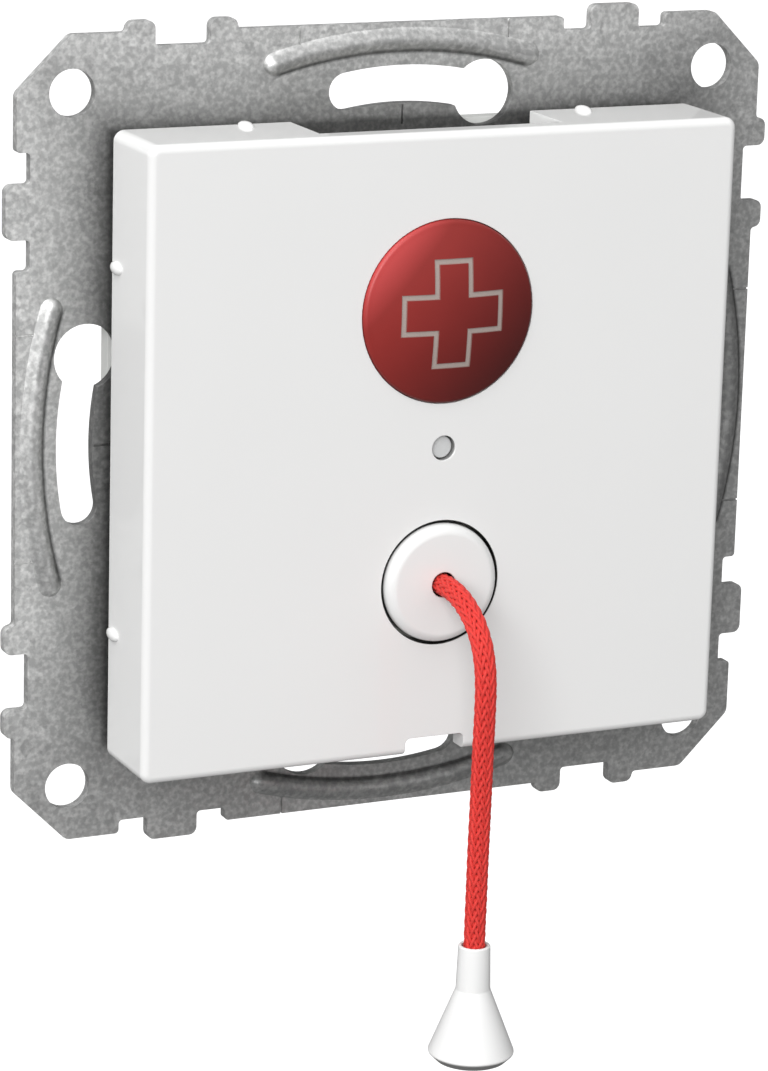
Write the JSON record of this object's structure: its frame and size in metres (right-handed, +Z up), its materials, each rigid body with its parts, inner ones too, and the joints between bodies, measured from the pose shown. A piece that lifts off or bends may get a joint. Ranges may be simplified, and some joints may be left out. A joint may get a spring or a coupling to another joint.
{
  "type": "emergency pull cord alarm",
  "caption": "Flush wall insert with a square white cover, a red call button, a signal lamp and a red pull cord with a cone handle on a steel mounting plate.",
  "frame": {"origin": "middle of the mounting plate's back, on the wall's surface", "axes": "+Z up, -Y out of the wall towards the user, +X to the right as the user sees it"},
  "size_m": [0.0724, 0.0445, 0.0889],
  "materials": {
    "galvanised_steel": "matt spangled zinc",
    "white_shell": "glossy",
    "inner_white": "matt moulded",
    "housing_grey": "matt moulded",
    "button_red": "satin",
    "lens": "cloudy and smooth",
    "cord_red": "braided",
    "bare_steel": "zinc plated",
    "board_green": "solder mask",
    "switch_black": "matt",
    "terminal_green": "matt moulded"
  },
  "bodies": {
    "unit": {"mounting_plate": "galvanised_steel", "cover": "white_shell", "light_guide": "lens", "carrier": "inner_white", "button_spring": "bare_steel", "pull_spring": "bare_steel", "housing": "housing_grey", "rear_cover": "housing_grey", "circuit_board": "board_green", "call_switch": "switch_black", "pull_switch": "switch_black", "status_led": "lens", "terminal_block": "terminal_green", "terminal_screw_1": "bare_steel", "terminal_screw_2": "bare_steel", "terminal_screw_3": "bare_steel", "terminal_screw_4": "bare_steel", "assembly_screw_1": "bare_steel", "assembly_screw_2": "bare_steel", "assembly_screw_3": "bare_steel", "assembly_screw_4": "bare_steel", "board_screw_1": "bare_steel", "board_screw_2": "bare_steel"},
    "button": {"call_button": "button_red"},
    "pull": {"pull_plunger": "white_shell", "plunger_collar": "inner_white", "pull_cord": "cord_red", "inner_knot": "cord_red", "outer_knot": "cord_red", "pull_handle": "white_shell"}
  },
  "joints": [
    {"name": "button_press", "type": "slide", "parent": "unit", "child": "button", "axis": [0, 1, 0], "range_m": [0, 0.0012], "stiffness_N_per_m": 600, "springref_m": -0.002, "deforming": ["button_spring"]},
    {"name": "cord_pull", "type": "slide", "parent": "unit", "child": "pull", "axis": [0, -1, 0], "range_m": [0, 0.002], "stiffness_N_per_m": 800, "springref_m": -0.003, "deforming": ["pull_spring"]}
  ]
}
